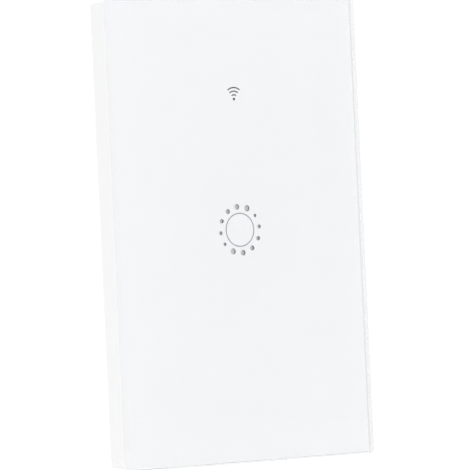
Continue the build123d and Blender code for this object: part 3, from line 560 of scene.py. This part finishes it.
# windows in the print: a ring of twelve dots that swell twice round, and the radio sign above
inkSink = 0.02 * mm  # the print's front lies just inside the glass
blockInset = 3.2 * mm  # light-blocking ink, held back from the seam
signArcs = 3
printLook = {
    "Dot Count": 12,
    "Dots In A Swell": 6,
    "Swell Offset": 4,
    "Ring Radius": 5.97 * mm,
    "Ring Height": 0.03 * mm,
    "Smallest Dot": 0.43 * mm,
    "Dot Growth": 0.072 * mm,
    "First Angle": math.radians(96.2),
    "Arc Radius": 1.1 * mm,
    "Arc Step": 0.93 * mm,
    "Arc Line": 0.33 * mm,
    "Arc Sweep": math.radians(77),
    "Sign Dot": 0.36 * mm,
    "Sign Height": signGuideBottom + 1.26 * mm,
    "Bond": glassBackY - sheetLow.y - inkSink,
    "Block Half Width": sheetHigh.x - blockInset,
    "Block Half Height": sheetHigh.z - blockInset,
}


# edges across the sheet where one ink ends
def scoreSheet(mesh, halfWidth, halfHeight):
    shape = bmesh.new()
    shape.from_mesh(mesh)
    for way, reach in ((Vector((1, 0, 0)), halfWidth), (Vector((0, 0, 1)), halfHeight)):
        for place in (-reach * way, reach * way):
            cut = shape.verts[:] + shape.edges[:] + shape.faces[:]
            bmesh.ops.bisect_plane(shape, geom=cut, plane_co=place, plane_no=way)
    shape.to_mesh(mesh)
    shape.free()


def dotCutters(tree, given, middleY, depth):
    points = tree.nodes.new("GeometryNodePoints")
    tree.links.new(given["Dot Count"], points.inputs["Count"])
    index = tree.nodes.new("GeometryNodeInputIndex").outputs[0]
    step = mathNode(tree, "DIVIDE", 2 * math.pi, given["Dot Count"])
    angle = mathNode(tree, "SUBTRACT", given["First Angle"], mathNode(tree, "MULTIPLY", index, step))
    across = mathNode(tree, "MULTIPLY", mathNode(tree, "COSINE", angle), given["Ring Radius"])
    along = mathNode(tree, "MULTIPLY", mathNode(tree, "SINE", angle), given["Ring Radius"])
    ringPoints = tree.nodes.new("GeometryNodeSetPosition")
    tree.links.new(points.outputs[0], ringPoints.inputs["Geometry"])
    place = vectorOf(tree, across, middleY, mathNode(tree, "ADD", along, given["Ring Height"]))
    tree.links.new(place, ringPoints.inputs["Position"])
    order = mathNode(tree, "ADD", index, given["Swell Offset"])
    swell = mathNode(tree, "MODULO", order, given["Dots In A Swell"])
    growth = mathNode(tree, "MULTIPLY", swell, given["Dot Growth"])
    radius = mathNode(tree, "ADD", given["Smallest Dot"], growth)
    punch = addNode(tree, "GeometryNodeMeshCylinder", {"Vertices": 28, "Radius": 1.0, "Depth": depth})
    dots = addNode(tree, "GeometryNodeInstanceOnPoints", {"Rotation": Euler(upright)})
    tree.links.new(ringPoints.outputs[0], dots.inputs["Points"])
    tree.links.new(punch.outputs["Mesh"], dots.inputs["Instance"])
    tree.links.new(vectorOf(tree, radius, radius, 1.0), dots.inputs["Scale"])
    return dots.outputs[0]


def signCutters(tree, given, middleY, depth):
    signPlace = vectorOf(tree, 0.0, middleY, given["Sign Height"])
    bar = addNode(tree, "GeometryNodeCurvePrimitiveQuadrilateral", {"Height": depth})
    tree.links.new(given["Arc Line"], bar.inputs["Width"])
    start = mathNode(tree, "MULTIPLY", mathNode(tree, "SUBTRACT", math.pi, given["Arc Sweep"]), 0.5)
    bands = []
    for i in range(signArcs):
        arc = addNode(tree, "GeometryNodeCurveArc", {"Resolution": 20})
        reach = mathNode(tree, "ADD", given["Arc Radius"], mathNode(tree, "MULTIPLY", given["Arc Step"], i))
        tree.links.new(reach, arc.inputs["Radius"])
        tree.links.new(start, arc.inputs["Start Angle"])
        tree.links.new(given["Arc Sweep"], arc.inputs["Sweep Angle"])
        band = addNode(tree, "GeometryNodeCurveToMesh", {"Fill Caps": True})
        tree.links.new(arc.outputs["Curve"], band.inputs["Curve"])
        tree.links.new(bar.outputs[0], band.inputs["Profile Curve"])
        bands.append(moved(tree, band.outputs[0], signPlace, upright))
    signDot = addNode(tree, "GeometryNodeMeshCylinder", {"Vertices": 20, "Depth": depth})
    tree.links.new(given["Sign Dot"], signDot.inputs["Radius"])
    return bands + [moved(tree, signDot.outputs["Mesh"], signPlace, upright)]


def makePrintedSheet(look):
    tree, sockets, given, result = startTree("printWindows", look)
    middleY = (sheetHigh.y + sheetLow.y) / 2
    depth = 4 * (sheetHigh.y - sheetLow.y)  # cutters stand out on both sides
    dots = dotCutters(tree, given, middleY, depth)
    cutters = joined(tree, dots, *signCutters(tree, given, middleY, depth))
    position = splitVector(tree, tree.nodes.new("GeometryNodeInputPosition").outputs[0])
    front = tree.nodes.new("GeometryNodeSetPosition")
    tree.links.new(cutAway(tree, given["Geometry"], cutters), front.inputs["Geometry"])
    tree.links.new(mathNode(tree, "LESS_THAN", position["Y"], middleY), front.inputs["Selection"])
    tree.links.new(vectorOf(tree, 0.0, given["Bond"]), front.inputs["Offset"])

    # white on the front and round the rim, light-blocking ink on the back, and the same near-black ink on
    # the window walls as painted shade that darkens the windows' sides
    normal = splitVector(tree, tree.nodes.new("GeometryNodeInputNormal").outputs[0])
    faces = mathNode(tree, "LESS_THAN", normal["Y"], -0.5)
    farX, farZ = (mathNode(tree, "ABSOLUTE", position[way]) for way in "XZ")
    besideX = mathNode(tree, "GREATER_THAN", farX, given["Block Half Width"])
    besideZ = mathNode(tree, "GREATER_THAN", farZ, given["Block Half Height"])
    white = mathNode(tree, "MAXIMUM", faces, mathNode(tree, "MAXIMUM", besideX, besideZ))
    endTree(tree, front.outputs[0], result, blockInkAndWallShade, white, finishes["white_print"])
    sheet = mergedCopy("printed_backing")
    scoreSheet(sheet, look["Block Half Width"], look["Block Half Height"])
    return runTree("printed_sheet", tree, sockets, look, sheet)


# thin grey line round the touch key, and the tinned ring that the touch spring stands on
keyLineLook = {"Radius": 4.25 * mm, "Line": 0.24 * mm, "Thickness": 0.03 * mm, "Height": 0.03 * mm}
electrodeLook = {"Radius": 3.4 * mm, "Line": 1.5 * mm, "Thickness": 0.03 * mm, "Height": 0.0}


def makeRing(name, look, y, finish):
    tree, sockets, given, result = startTree(name, look)
    circle = addNode(tree, "GeometryNodeCurvePrimitiveCircle", {"Resolution": 128})
    tree.links.new(given["Radius"], circle.inputs["Radius"])
    line = stripAlong(tree, circle.outputs["Curve"], given["Line"], given["Thickness"])
    endTree(tree, moved(tree, line, vectorOf(tree, 0.0, y, given["Height"]), upright), result, finish)
    return runTree(name, tree, sockets, look)


printedSheet = settle(makePrintedSheet(printLook), "front_panel", "white_print", "printed_backing")
keyLine = makeRing("touch_ring_line", keyLineLook, glassBackY - keyLineLook["Thickness"], inkGrey)
settle(keyLine, "front_panel", "white_print")
electrode = makeRing("touch_electrode", electrodeLook, boardY, finishes["shield_tin"])
settle(electrode, "base", "shield_tin")
print("print and marks made:", len(printedSheet.data.polygons), "faces in the sheet")


# cross recesses in the heads of the assembly screws and, over their slots, of the clamp screws
assemblyHeadRadius = 2.3 * mm
assemblyLook = {
    "Columns": 2,
    "Rows": 2,
    "Arm Length": 2.6 * mm,
    "Arm Width": 0.55 * mm,
    "Recess": 0.75 * mm,
}
clampLook = {
    "Columns": 1,
    "Rows": 1,
    "Arm Length": 3.2 * mm,
    "Arm Width": 0.7 * mm,
    "Recess": 1.2 * mm,
}


# heads at the corners of the set's box, or a single head in its middle
def makeRecessedScrews(name, node, look, headY, headRadius=0.0):
    low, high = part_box(node)
    centre = (low + high) / 2
    spanX, spanZ = (high[i] - low[i] - 2 * headRadius for i in (0, 2))
    tree, sockets, given, result = startTree(name, look)
    grid = addNode(tree, "GeometryNodeMeshGrid", {"Size X": spanX, "Size Y": spanZ})
    tree.links.new(given["Columns"], grid.inputs["Vertices X"])
    tree.links.new(given["Rows"], grid.inputs["Vertices Y"])
    heads = moved(tree, grid.outputs["Mesh"], vectorOf(tree, centre.x, headY, centre.z), upright)
    depth = mathNode(tree, "MULTIPLY", given["Recess"], 2.0)
    across = boxOf(tree, given["Arm Length"], depth, given["Arm Width"])
    along = boxOf(tree, given["Arm Width"], depth, given["Arm Length"])
    cross = tree.nodes.new("GeometryNodeInstanceOnPoints")
    tree.links.new(heads, cross.inputs["Points"])
    tree.links.new(joined(tree, across, along), cross.inputs["Instance"])
    cut = cutAway(tree, given["Geometry"], cross.outputs[0])
    endTree(tree, cut, result, finishes["screw_steel"])
    return runTree(name, tree, sockets, look, mergedCopy(node))


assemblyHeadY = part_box("assembly_screws")[0].y
heads = makeRecessedScrews(
    "assembly_screw_set", "assembly_screws", assemblyLook, assemblyHeadY, assemblyHeadRadius)
settle(heads, "base", "screw_steel", "assembly_screws")
for i in (1, 2, 3):
    node = f"clamp_screw_{i}"
    crossed = makeRecessedScrews(f"crossed_{node}", node, clampLook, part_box(node)[1].y)
    settle(crossed, f"screw_{i}", "screw_steel", node)
print("screw heads recessed:", len(heads.data.polygons), "faces in the set of four")


# dressing of the touch board: chip parts, test pads, vias and tracks under the lacquer
chipLook = {"Chip Length": 1.6 * mm, "Chip Width": 0.8 * mm, "Chip Height": 0.45 * mm}
capLook = {**chipLook, "Cap Length": 0.32 * mm, "Cap Proud": 0.03 * mm}
padLook = {"Pad Thickness": 0.03 * mm}
trackLook = {"Track Width": 0.3 * mm, "Track Thickness": 0.04 * mm}
chipPlaces = [(x, 28.4, 0) for x in (-9, -5, 5, 9)]  # x, z in millimetres, turn in degrees
chipPlaces += [(x, z, 90) for x in (-11.5, 11.5) for z in (-8, 8)]
chipPlaces += [(x, z, 0) for z in (-16, -19.5) for x in (-7.5, -2.5, 2.5, 7.5)]
padPlaces = [(x, -31, 0.9) for x in (-10, -5, 0, 5, 10)]  # x, z and radius in millimetres
padPlaces += [(x, z, 0.32) for x in (-14, 14) for z in (-13, 20)]
padPlaces += [(x, z, 0.32) for x in (-6, 6) for z in (-11.5, 12.5, 24)]
padPlaces += [(0, 12, 0.32), (0, 22, 0.32), (0, -12, 0.32)]
trackPaths = [[(0, 12), (0, 22)], [(0, -12), (0, -31)]]  # x and z in millimetres
sidePaths = [  # the same on the left and the right
    [(5, 28.4), (5, 25), (6, 24), (6, 12.5)],
    [(9, 28.4), (9, 25), (14, 20), (14, 10.5), (11.5, 8)],
    [(11.5, -8), (11.5, -12), (7.5, -16)],
    [(2.5, -16), (2.5, -14), (6, -11.5)],
    [(7.5, -19.5), (7.5, -25), (10, -27.5), (10, -31)],
    [(2.5, -19.5), (2.5, -25), (5, -27.5), (5, -31)],
]
for side in (-1, 1):
    trackPaths += [[(side * x, z) for x, z in path] for path in sidePaths]


# points on the board's face, each with a number of its own for its turn or its size
def boardPoints(name, places, scale):
    mesh = bpy.data.meshes.new(name)
    mesh.from_pydata([(x * mm, boardY, z * mm) for x, z, _ in places], [], [])
    own = mesh.attributes.new("own", "FLOAT", "POINT")
    own.data.foreach_set("value", [number * scale for _, _, number in places])
    return mesh


def onBoard(tree, points, shape):
    node = tree.nodes.new("GeometryNodeInstanceOnPoints")
    tree.links.new(points, node.inputs["Points"])
    tree.links.new(shape, node.inputs["Instance"])
    own = addNode(tree, "GeometryNodeInputNamedAttribute", {"Name": "own"})
    return node, own.outputs[0]


def chipBody(tree, given, half):
    body = boxOf(tree, given["Chip Length"], given["Chip Height"], given["Chip Width"])
    return moved(tree, body, vectorOf(tree, 0.0, half))


# tinned ends, a little proud of the chip's body
def chipCaps(tree, given, half):
    proud = mathNode(tree, "MULTIPLY", given["Cap Proud"], 2.0)
    height = mathNode(tree, "ADD", given["Chip Height"], proud)
    width = mathNode(tree, "ADD", given["Chip Width"], proud)
    cap = boxOf(tree, given["Cap Length"], height, width)
    gap = mathNode(tree, "SUBTRACT", given["Chip Length"], given["Cap Length"])
    reach = mathNode(tree, "MULTIPLY", gap, 0.5)
    left = moved(tree, cap, vectorOf(tree, mathNode(tree, "MULTIPLY", reach, -1.0), half))
    return joined(tree, left, moved(tree, cap, vectorOf(tree, reach, half)))


def makeChips(name, look, finish, shapeOf):
    tree, sockets, given, result = startTree(name, look)
    half = mathNode(tree, "MULTIPLY", given["Chip Height"], -0.5)
    chips, turn = onBoard(tree, given["Geometry"], shapeOf(tree, given, half))
    tree.links.new(vectorOf(tree, 0.0, turn, 0.0), chips.inputs["Rotation"])
    endTree(tree, chips.outputs[0], result, finish)
    return runTree(name, tree, sockets, look, boardPoints(name, chipPlaces, math.radians(1)))


def makePads(name, look):
    tree, sockets, given, result = startTree(name, look)
    disc = addNode(tree, "GeometryNodeMeshCylinder", {"Vertices": 24, "Radius": 1.0})
    tree.links.new(mathNode(tree, "MULTIPLY", given["Pad Thickness"], 2.0), disc.inputs["Depth"])
    pads, radius = onBoard(tree, given["Geometry"], disc.outputs["Mesh"])
    pads.inputs["Rotation"].default_value = Euler(upright)
    tree.links.new(vectorOf(tree, radius, radius, 1.0), pads.inputs["Scale"])
    endTree(tree, pads.outputs[0], result, finishes["pin_metal"])
    return runTree(name, tree, sockets, look, boardPoints(name, padPlaces, mm))


def makeTracks(name, look):
    points = []
    edges = []
    for path in trackPaths:
        edges += [(len(points) + i, len(points) + i + 1) for i in range(len(path) - 1)]
        points += [(x * mm, z * mm, 0) for x, z in path]
    mesh = bpy.data.meshes.new(name)
    mesh.from_pydata(points, edges, [])
    tree, sockets, given, result = startTree(name, look)
    line = tree.nodes.new("GeometryNodeMeshToCurve")
    tree.links.new(given["Geometry"], line.inputs["Mesh"])
    strip = stripAlong(tree, line.outputs[0], given["Track Width"], given["Track Thickness"])
    endTree(tree, moved(tree, strip, vectorOf(tree, 0.0, boardY), upright), result, maskOverCopper)
    return runTree(name, tree, sockets, look, mesh)


settle(makeChips("chip_bodies", chipLook, finishes["chip_resin"], chipBody), "base", "chip_resin")
settle(makeChips("chip_caps", capLook, finishes["shield_tin"], chipCaps), "base", "shield_tin")
settle(makePads("board_pads", padLook), "base", "pin_metal")
settle(makeTracks("board_tracks", trackLook), "base", "touch_laminate")
print("touch board dressed:", len(chipPlaces), "chips,", len(padPlaces), "pads,", len(trackPaths), "tracks")


makeCamera(photoCamera)
makeWorld(studio)
makeLamps(studio["lamps"])
makeFloor(studio)
scene.view_settings.view_transform = "Standard"
print("camera, light and floor set")
